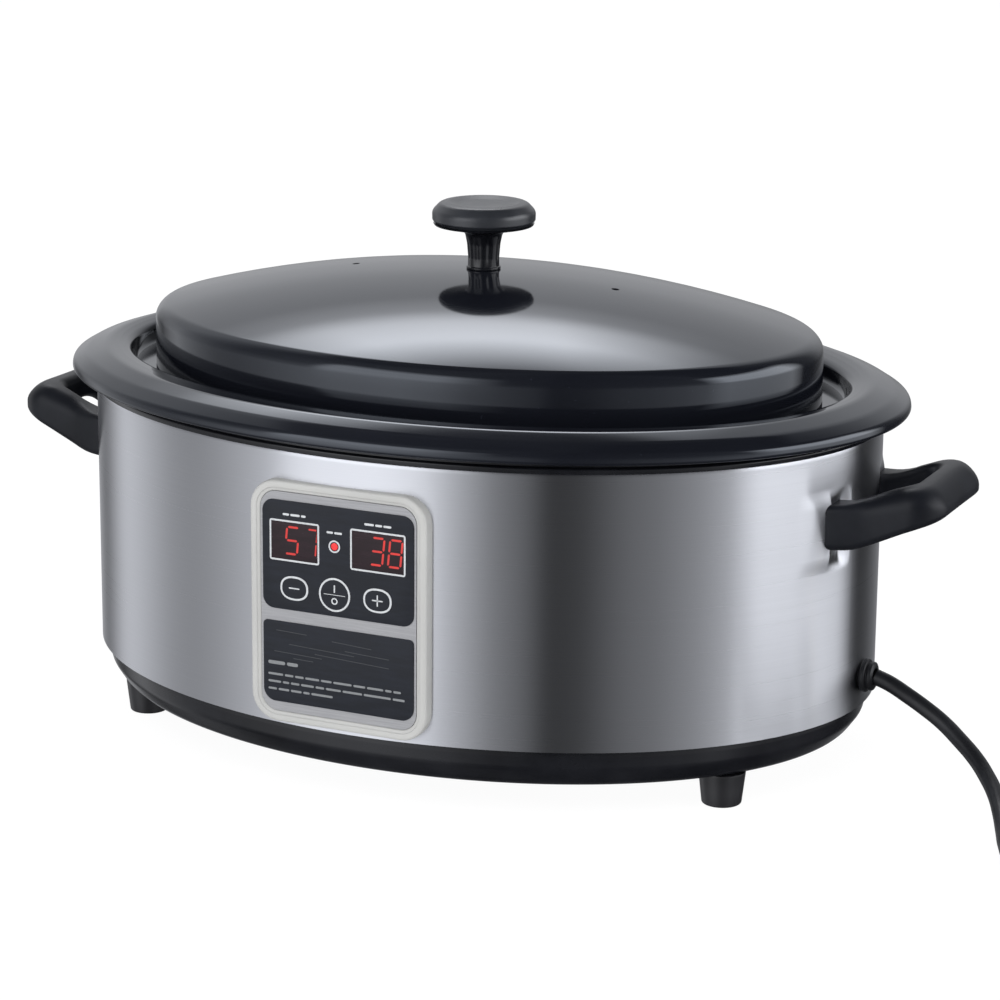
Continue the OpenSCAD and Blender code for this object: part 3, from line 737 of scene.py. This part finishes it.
def make_handle(name, node, side):
    """A bent grip: upright legs at the wall that sweep out and up into a broad bar, hollowed for the fingers.
    side is 1 at the right and -1 at the left, where the right grip is mirrored."""
    low, high = box_mm("handle_right")
    tip, foot, top, arch_half = high.x, low.z, high.z, 19.4
    lower = [(tip - 52, foot), (tip - 37, foot + 0.8), (tip - 27, foot + 4.6), (tip - 19, foot + 8.6),
             (tip - 11, foot + 12), (tip - 4, foot + 14.6), (tip, foot + 16.4)]
    upper = [(tip - 52, foot + 19.3), (tip - 40, foot + 20), (tip - 32, foot + 22.4), (tip - 24, foot + 26),
             (tip - 16, top - 2.6), (tip - 9, top - 2), (tip - 3, top - 3.8), (tip, top - 6.2)]
    loops = []
    for (ix, iy), (ox, oy) in handle_plan():
        wide, mid = math.hypot(ox - ix, oy - iy), (ix + ox) / 2
        tall = along_profile(upper, mid) - along_profile(lower, mid)
        brow = 3 + 6.5 * eased(min(1, max(0, (mid - 178) / 20)))
        radii = [min(brow, 0.62 * wide, 0.62 * tall)]
        radii += [min(r, 0.34 * wide, 0.34 * tall) for r in (4, 3.2, 3.6)]
        loop = []
        for u, _, v in plate_loop(wide / 2, tall / 2, wide, tall, radii, 0, 8):
            x, y = ix + (ox - ix) * u / wide, iy + (oy - iy) * u / wide
            z0, z1 = along_profile(lower, x), along_profile(upper, x)
            if abs(y) < arch_half and x > 195:
                arch = 11.4 * math.sqrt(1 - (y / arch_half) ** 2) + foot + 5.4
                z0 = max(z0, arch - 0.35 * max(0, x - tip + 12))
            loop.append((side * x, y, z0 + (z1 - z0) * v / tall))
        loops.append(loop)
    return show(name, stack(loops), node, sharp=70)


# ---- Panel ----

KEYS = ("button_minus", "button_onoff", "button_plus")


def make_bezel():
    """The pale frame: a broad soft crest, a fine step and a slope down to the plate inside."""
    front, back = box_mm("control_bezel")[0].y, -128
    section = [(0, 1.5), (0.1, 0.85), (0.35, 0.35), (0.8, 0.07), (1.3, 0), (2.7, 0), (2.95, 0.1), (3.05, 0.4),
               (3.3, 0.5), (4.0, 0.55), (4.35, 0.75), (4.6, 1.1), (4.6, 4), (2, 4)]
    section = [(0, back)] + [(inset, front + depth) for inset, depth in section] + [(2, back)]
    rows = [plate_loop(*face_on("control_bezel"), 12, y, inset=inset) for inset, y in section]
    return show("panel_frame", band(rows), "control_bezel", sharp=55)


def key_outline(node):
    """Middle, width, height and squareness of a key's face, which is inside the node's hidden rim."""
    x, z, w, h = face_on(node)
    rim = 1.2
    return x, z, w - 2 * rim, h - 2 * rim, 2.0 if node == "button_onoff" else 2.35


def key_cutter(node):
    """A block of a key's outline, a little wider, that cuts its hole."""
    x, z, w, h, power = key_outline(node)
    y = box_mm(node)[0].y
    return stack([oval_loop(x, z, w + 0.3, h + 0.3, depth, power) for depth in (y - 4, y + 4)])


def make_films():
    """The upper film with a hole for each key, and the lower blank label."""
    for name, node, radii in (("upper_film", "display_overlay", 5),
                              ("lower_film", "lower_label", [2, 2, 5.5, 5.5])):
        low, high = box_mm(node)
        piece = show(name, tile(*face_on(node), radii, low.y, high.y, 0.12), node)
        if node == "display_overlay":
            cut(piece, "chassis", [key_cutter(key) for key in KEYS])


# Strokes of each digit, named as on a seven-segment display
SEGMENTS = {"3": "abgcd", "5": "afgcd", "7": "abc", "8": "abcdefg"}


def digit(symbol, x, z, w, h, y):
    """A slanted seven-segment digit, with a thin gap between its strokes."""
    t, lean, gap = w * 0.16, 0.10, w * 0.07
    ends = {"a": ((0, 2), (1, 2)), "b": ((1, 2), (1, 1)), "c": ((1, 1), (1, 0)), "d": ((0, 0), (1, 0)),
            "e": ((0, 1), (0, 0)), "f": ((0, 2), (0, 1)), "g": ((0, 1), (1, 1))}
    parts = []
    for key in SEGMENTS[symbol]:
        (ax, az), (bx, bz) = ends[key]
        start = Vector((x + (ax - 0.5) * w, z + (az - 1) * h / 2))
        end = Vector((x + (bx - 0.5) * w, z + (bz - 1) * h / 2))
        along = (end - start).normalized()
        start, end = start + along * gap, end - along * gap
        side = Vector((-along.y, along.x)) * t / 2
        tip = along * t / 2
        outline = [start, start + tip - side, end - tip - side, end, end - tip + side, start + tip + side]
        outline = [(p.x + lean * (p.y - z), p.y) for p in outline]
        parts.append(stack([[(px, d, pz) for px, pz in outline] for d in (y, y - 0.05)]))
    return joined(parts)


def make_displays():
    """Dark windows with lit digits. The last digit of the left one is cut off by its window."""
    front = box_mm("display_overlay")[0].y - 0.03
    for side in ("left", "right"):
        node = "display_" + side
        show("window_" + side, tile(*face_on(node), 0.8, front, front + 8, 0.02), node)
    left, right = box_mm("display_left"), box_mm("display_right")
    y, z, wide, tall, pitch = front - 0.01, middle("display_left").z, 5.6, 11.4, 8.2
    parts = [digit("5", left[0].x + 10.2, z + 0.3, wide, tall, y)]
    points, faces = digit("7", left[1].x - 3.3, z + 0.3, wide - 1, tall, y)
    parts.append(([(min(px, left[1].x - 0.9), py, pz) for px, py, pz in points], faces))
    for i, symbol in enumerate("38"):
        parts.append(digit(symbol, right[1].x - 12.6 + pitch * i, z + 0.6, wide, tall, y))
    glow = make_piece("lit_digits", *joined(parts), "chassis", digit_glow)


def make_lamp():
    """The red lamp: a low dome that stands in a white ring."""
    x, y, z = middle("heat_led").x, box_mm("heat_led")[0].y, middle("heat_led").z
    profile = [(0, -0.3, 0), (1.3, -0.22, 0.8), (1.95, 0.1, 0.4), (2.0, 5, 0), (0, 5, 0)]
    points, faces = spin(rounded(profile), segments=40)
    return show("lamp_lens", ([(x + px, y + pz, z + py) for px, py, pz in points], faces), "heat_led")


def print_film(name, parts, colour=ink, body="chassis"):
    """Printing on a panel film."""
    piece = make_piece(name, *joined(parts), body, colour)


def oval_loop(x, z, w, h, y, power=2.3, steps=48):
    """A slightly squared oval."""
    out = []
    for k in range(steps):
        c, d = math.cos(2 * math.pi * k / steps), math.sin(2 * math.pi * k / steps)
        out.append((x + w / 2 * math.copysign(abs(c) ** (2 / power), c), y,
                    z + h / 2 * math.copysign(abs(d) ** (2 / power), d)))
    return out


def make_button(node):
    """A membrane key: a soft low dome of film with its printed outline and sign. Its body has its name."""
    x, z, w, h, power = key_outline(node)
    y = box_mm(node)[0].y

    def loops(rows):
        return [oval_loop(x, z, w - inset, h - inset, y + depth, power) for inset, depth in rows]

    dome = stack(loops([(6.8, 0.0), (3.6, 0.02), (1.8, 0.06), (0.6, 0.14), (0.0, 0.3), (0.0, 1.8)]))
    show(node + "_cap", dome, node, node)
    parts = [band(loops([(-0.1, 0.3), (-0.1, 0.08), (1.5, 0.04), (1.5, 0.3)]))]
    arm, thick, proud = 2.2, 0.55, 0.03
    if node == "button_onoff":
        parts += power_signs(x, z, y)
    else:
        parts.append(stroke((x - arm, z), (x + arm, z), thick, y, proud))
    if node == "button_plus":
        parts.append(stroke((x, z - arm), (x, z + arm), thick, y, proud))
    print_film(node + "_marks", parts, body=node)


def word_bars(x, z, widths, size, y, gap=0.55):
    """Small plain bars in place of printed words."""
    parts, total = [], sum(widths) + gap * (len(widths) - 1)
    left = x - total / 2
    for width in widths:
        parts.append(stroke((left + size / 2, z), (left + max(width - size / 2, size), z), size, y))
        left += width + gap
    return parts


def make_marks():
    """White printing on the upper film: window outlines, plain bars and the lamp's ring."""
    y = box_mm("display_overlay")[0].y
    parts = []
    for node in ("display_left", "display_right"):
        x, z, w, h = face_on(node)
        parts.append(ring_mark(x, z, w + 0.5, h + 0.5, 1.0, 0.75, y))
    lamp = middle("heat_led")
    parts.append(ring_mark(lamp.x, lamp.z, 5.3, 5.3, 2.6, 0.65, y))
    parts += word_bars(middle("display_left").x, 124.2, (3.0, 4.4, 2.2), 0.95, y)
    parts += word_bars(middle("display_right").x, 124.5, (4.4, 3.2, 3.6), 0.95, y)
    parts += word_bars(lamp.x, 119.0, (3.0, 3.6), 0.9, y)
    print_film("panel_marks", parts)


def power_signs(x, z, y):
    """The plain on sign, a bar, over the off sign, a ring, with a thin line between them."""
    ring = [oval_loop(x, z - 2.7, size, size, y - depth, 2.0, 32)
            for size, depth in ((2.9, -0.02), (2.9, 0.03), (1.8, 0.03), (1.8, -0.02))]
    return [stroke((x - 4.8, z), (x + 4.8, z), 0.24, y, 0.03),
            stroke((x, z + 1.2), (x, z + 3.9), 0.6, y, 0.03), band(ring)]


def make_label_bars():
    """Grey bars on the lower film where printed lines would be, and rubbed streaks above them."""
    low, high = box_mm("lower_label")
    left, y, gap = low.x + 2.2, low.y, 0.8
    parts = word_bars(left + 7, high.z - 18.2, (8.0, 5.2), 1.5, y, gap)
    lines = [(7, 4, 4, 6.5, 5, 8.5, 5.5, 7.5, 3, 3.5), (6, 3, 4, 6, 4, 7, 9, 12.5, 5.5), (4, 5, 5, 3, 10)]
    for i, widths in enumerate(lines):
        total = sum(widths) + gap * (len(widths) - 1)
        parts += word_bars(left + total / 2, high.z - 23.2 - 3.2 * i, widths, 0.95, y, gap)
    print_film("label_bars", parts, faint_ink)
    rubs = []
    for x, z, length, drop in ((4, 4.0, 14, 0.4), (30, 5.6, 18, 0.9), (10, 9.5, 30, 1.1), (3, 13.2, 22, 0.6),
                               (22, 12.2, 34, 1.4), (36, 9.0, 20, 0.8), (12, 15.4, 9, 0.2)):
        rubs.append(stroke((left + x, high.z - z), (left + x + length, high.z - z - drop), 0.28, y, 0.02))
    print_film("label_rubs", rubs, rub_ink)


# ---- Grommet ----

def make_grommet():
    """The rubber bushing in the wall: a wide collar, a groove and a smaller nose round the lead."""
    low, high = box_mm("cord_grommet")
    y, z, end = (low.y + high.y) / 2, (low.z + high.z) / 2, high.x
    wall = end - 6
    profile = rounded([
        (0, low.x, 0), (8, low.x, 0.6), (8, wall - 3, 0.6), (5.7, wall - 2.6, 0.3), (5.7, wall + 0.5, 0.2),
        (7.2, wall + 0.6, 0.5), (7.2, wall + 2.7, 0.7), (5.7, wall + 3.0, 0.3), (5.8, wall + 3.5, 0.2),
        (6.3, wall + 4.0, 0.4), (6.1, wall + 5.3, 0.6), (4.6, end - 0.1, 0.5), (3.55, end - 0.2, 0.2),
        (3.4, end - 2, 0), (0, end - 2, 0)])
    points, faces = spin(profile, segments=64)
    return show("rubber_bush", ([(pz, px + y, py + z) for px, py, pz in points], faces), "cord_grommet")


# ---- Well, lid and knob ----

def make_well():
    """The lift-out well: a broad flange with a soft crest, a ledge for the lid and a deep bowl."""
    low, high = box_mm("cookwell")
    ra, z, floor, ledge = high.x, high.z, low.z, 157.0
    mouth, mouth_deep, crest = 165.6, 112.0, ra - 17
    ratio = high.y / high.x

    def depth(radius):
        if radius >= crest:
            return radius * ratio
        if radius <= mouth:
            return radius * mouth_deep / mouth
        return mouth_deep + (crest * ratio - mouth_deep) * (radius - mouth) / (crest - mouth)

    profile = rounded([
        (0, floor, 0), (144.5, floor, 14), (148, floor + 14, 0), (148.2, ledge - 5, 3),
        (152.6, ledge - 1.8, 1.5), (mouth - 0.4, ledge - 1.6, 1.6), (mouth + 1.2, ledge + 1.6, 1.2),
        (mouth + 1.3, z - 3.6, 1.2),
        (ra - 13.4, z - 3.4, 0.8), (ra - 13.2, z - 10.4, 0.3), (ra - 10.5, z - 10.4, 0.3),
        (ra - 10.3, z - 6.8, 1), (ra - 6, z - 8.4, 2), (ra - 3.0, z - 11.6, 1.4), (ra, z - 10.8, 2.2),
        (ra - 0.6, z - 6.9, 3.4),
        (ra - 7.4, z - 3.0, 14), (crest, z + 0.1, 12), (mouth + 5, z - 0.5, 4), (mouth + 0.2, z - 1.6, 4.6),
        (mouth - 0.8, ledge + 1.4, 0), (mouth - 2.4, ledge, 1.6), (152, ledge, 2.5), (146.2, ledge - 6, 3),
        (145.8, floor + 14, 0), (143.5, floor + 2, 13), (0, floor + 2, 0)], steps=8)
    return show("well_enamel", spin(profile, depth, 360), "cookwell", "cookwell", sharp=50)


def make_lid():
    """The domed lid: a shallow crown, a tight shoulder and an upright wall, with two steam vents."""
    low, high = box_mm("lid")
    a, top, bottom = high.x, high.z, low.z
    rise = 22.3
    big = (a * a + rise * rise) / (2 * rise)
    edge, bend = a - 6.6, 7
    drop = big - math.sqrt(big * big - edge * edge)
    crown = [(edge * k / 16, top - big + math.sqrt(big * big - (edge * k / 16) ** 2)) for k in range(17)]
    lean = math.asin(edge / big)
    centre = (edge - bend * math.sin(lean), top - drop - bend * math.cos(lean))
    shoulder = [(centre[0] + bend * math.cos(t), centre[1] + bend * math.sin(t))
                for t in ((math.pi / 2 - lean) * (1 - k / 12) for k in range(1, 13))]
    push = a - shoulder[-1][0]
    shoulder = [(r + push * (k + 1) / 12, z) for k, (r, z) in enumerate(shoulder)]
    outer = crown + shoulder + [(a, (shoulder[-1][1] + bottom) / 2), (a, bottom + 0.5), (a - 0.3, bottom)]
    inner = [(a - 1.2, bottom), (a - 1.4, bottom + 0.4)]
    inner += [(r - 1.3 if r > 1 else 0, z - 1.4) for r, z in reversed(outer[:-3])]
    lid = show("lid_enamel", spin(outer + inner, high.y / a, 360), "lid", "lid")
    vent = [(0, top - 20), (1.7, top - 20), (1.7, top + 5), (0, top + 5)]
    drill, faces = spin(vent, segments=24)
    cut(lid, "lid", [([(x + vent_x, y, z) for x, y, z in drill], faces) for vent_x in (-62.5, 62.5)])


def make_knob():
    """The knob: a fluted stem that flares under a wide round cap with a dished top."""
    low, high = box_mm("knob_stem")
    z, top = low.z, high.z
    stem = rounded([
        (0, z, 0), (7.5, z, 0.3), (7.5, z + 1.0, 0.3), (6.9, z + 1.3, 0.3), (6.8, z + 5, 8),
        (7.3, z + 11, 12), (8.4, z + 16.4, 3), (21.6, z + 19.3, 0.4), (22.0, top, 0), (0, top, 0)])

    def flutes(angle, height):
        rise = min(1, max(0, (height - z - 1.4) / 2)) * (1 - min(1, max(0, (height - z - 11) / 3)))
        return 1 - 0.075 * rise * (0.5 + 0.5 * math.cos(8 * angle)) ** 2

    show("knob_stem_fluted", spin(stem, 1, 192, squeeze=flutes), "knob_stem", "lid", 35)
    low, high = box_mm("knob_cap")
    r, z, top = high.x, low.z, high.z
    cap = rounded([
        (0, z, 0), (r - 1.6, z, 0.3), (r - 0.9, z + 0.9, 0.2), (r - 0.1, z + 1.5, 1.2), (r, z + 5.4, 3.6),
        (r - 3.4, top - 0.5, 3.6), (r - 7, top, 3), (r - 12, top - 1.1, 14), (0, top - 1.5, 0)],
        steps=10)
    piece = show("knob_cap_moulded", spin(cap, 1, 144), "knob_cap", "lid")
    # The cap takes a lighter copy of the satin black, a painted sheen that stands in for the light on its
    # top.
    piece.data.materials[0] = plastic("knob_satin_painted_sheen", (0.020, 0.022, 0.027), 0.34,
                                      grain=2200, depth=0.006, specular=0.6)


# ---- Studio ----

def make_floor():
    """A pale floor that runs out of view on all sides."""
    shape = bmesh.new()
    bmesh.ops.create_circle(shape, cap_ends=True, segments=96, radius=14)
    mesh = bpy.data.meshes.new("floor")
    shape.to_mesh(mesh)
    shape.free()
    floor = add_object("floor", mesh)
    n = Nodes("floor")
    speckle = n.noise(40, 3, 0.5)
    n.paint(n.span(speckle, 0, 1), (0.095, 0.095, 0.096), (0.105, 0.105, 0.106))
    n.set(Roughness=0.95, Specular_IOR_Level=0.0, Emission_Color=(1, 1, 1, 1), Emission_Strength=0.955)
    mesh.materials.append(n.material)
    floor.location.z = -0.0004
    floor.visible_glossy = False


# Brightness of the studio by compass direction in degrees (0 is +X, -90 is -Y) and, for the panels that
# stand on the floor and for those that hang at the back, by height above the horizon in degrees
ROUND = [
    (-180, .28), (-167, .18), (-158, .19), (-150, .26), (-141, .38), (-127, .58), (-110, .64), (-100, .50),
    (-93, .32), (-84, .19), (-76, .11), (-71, .02), (-62, .04), (-50, .12), (-42, .15), (-29, .24),
    (-18, .36), (-12, .30), (-5, .13), (16, .08), (30, .06), (44, .03), (56, 0), (84, 0), (106, .06),
    (134, .15), (141, .04), (150, 0), (157, .12), (168, .36), (180, .28)]
STANDING = [
    (-90, .1), (-60, .2), (-40, .6), (-28, 1.7), (-18, 2.3), (-4, 2.3), (5, 1.4), (18, .6), (45, .3),
    (90, .1)]
HANGING = [(-90, 0), (-6, .15), (2, .42), (12, .65), (30, .80), (54, .75), (58, .05), (90, .03)]
BEHIND = [
    (-180, .5), (-160, .1), (-120, 0), (40, 0), (68, .2), (84, .85), (95, 1), (140, 1), (165, .8), (180, .5)]
# Smaller bright panels: one at the right, one at the front left and one high at the back
SIDE_ROUND = [(-180, 0), (-18, 0), (-6, 1), (40, 1), (53, 0), (180, 0)]
SIDE_HEIGHT = [(-90, 0), (-20, 0), (-13, 1.1), (2, 1.5), (12, 3.4), (32, 3.6), (42, 0), (90, 0)]
FRONT_ROUND = [(-180, 0), (-134, 0), (-130, 1), (-101, 1), (-93, .45), (-84, 0), (180, 0)]
FRONT_HEIGHT = [(-90, 0), (-8, 0), (12, 1.9), (28, 2.1), (40, 0), (90, 0)]
HIGH_ROUND = [(-180, 0), (98, 0), (113, 1), (131, 1), (148, 0), (180, 0)]
HIGH_HEIGHT = [(-90, 0), (30, 0), (36, .8), (40, 3.4), (46, 5.4), (50, 3.4), (56, 0), (90, 0)]


def make_studio():
    """Soft panels round the object in a dim room. The camera itself sees plain white beyond the floor."""
    world = bpy.data.worlds.new("studio")
    bpy.context.scene.world = world
    world.use_nodes = True
    tree = world.node_tree
    tree.nodes.clear()
    new = tree.nodes.new

    def profile(value, stops, whole):
        """Brightness between stops at a value in degrees that runs from -whole to whole."""
        ramp = new("ShaderNodeValToRGB")
        connect(maths(tree, "MULTIPLY_ADD", value, math.degrees(0.5 / whole), 0.5), ramp.inputs[0])
        most = max(bright for _, bright in stops)
        marks = ramp.color_ramp.elements
        while len(marks) < len(stops):
            marks.new(0.5)
        for mark, (place, bright) in zip(marks, stops):
            mark.position = (place + whole) / (2 * whole)
            mark.color = (bright / most,) * 3 + (1,)
        return maths(tree, "MULTIPLY", ramp.outputs["Color"], most)

    way = new("ShaderNodeSeparateXYZ")
    connect(new("ShaderNodeTexCoord").outputs["Generated"], way.inputs[0])
    compass = maths(tree, "ARCTAN2", way.outputs["Y"], way.outputs["X"])
    height = maths(tree, "ARCSINE", way.outputs["Z"])
    light = 0.02
    for sideways, upwards in ((ROUND, STANDING), (BEHIND, HANGING), (SIDE_ROUND, SIDE_HEIGHT),
                              (FRONT_ROUND, FRONT_HEIGHT), (HIGH_ROUND, HIGH_HEIGHT)):
        panel = maths(tree, "MULTIPLY", profile(compass, sideways, 180), profile(height, upwards, 90))
        light = maths(tree, "ADD", light, panel)
    colour = new("ShaderNodeCombineXYZ")
    for socket, share in zip(colour.inputs, (0.965, 0.98, 1.02)):
        connect(maths(tree, "MULTIPLY", light, share), socket)
    studio, plain, mix = new("ShaderNodeBackground"), new("ShaderNodeBackground"), new("ShaderNodeMixShader")
    connect(colour.outputs[0], studio.inputs["Color"])
    connect((1, 1, 1, 1), plain.inputs["Color"])
    seen = new("ShaderNodeLightPath").outputs["Is Camera Ray"]
    for source, socket in zip((seen, studio.outputs[0], plain.outputs[0]), mix.inputs):
        connect(source, socket)
    connect(mix.outputs[0], new("ShaderNodeOutputWorld").inputs["Surface"])
    bpy.context.scene.view_settings.view_transform = "Standard"


def make_soft_light():
    """A large overhead light at the front that lifts the matt parts."""
    data = bpy.data.lights.new("overhead", "AREA")
    data.shape, data.size, data.size_y, data.energy = "RECTANGLE", 1.6, 1.2, 22
    light = add_object("overhead", data)
    light.location = (0.35, -1.5, 1.5)
    light.rotation_euler = (Vector((0, 0, 0.08)) - Vector(light.location)).to_track_quat("-Z", "Y").to_euler()
    light.visible_glossy = False


# ---- The whole object ----

make_camera()
dress_frame()
lead, lead_length = make_cord()
plug = make_plug()
strap = make_tie()
make_skirt()
make_feet()
make_wall()
make_trim()
make_handle("grip_right", "handle_right", 1)
make_handle("grip_left", "handle_left", -1)
make_bezel()
make_films()
make_displays()
make_lamp()
make_marks()
for key in KEYS:
    make_button(key)
make_label_bars()
make_grommet()
make_well()
make_lid()
make_knob()
make_floor()
make_studio()
make_soft_light()
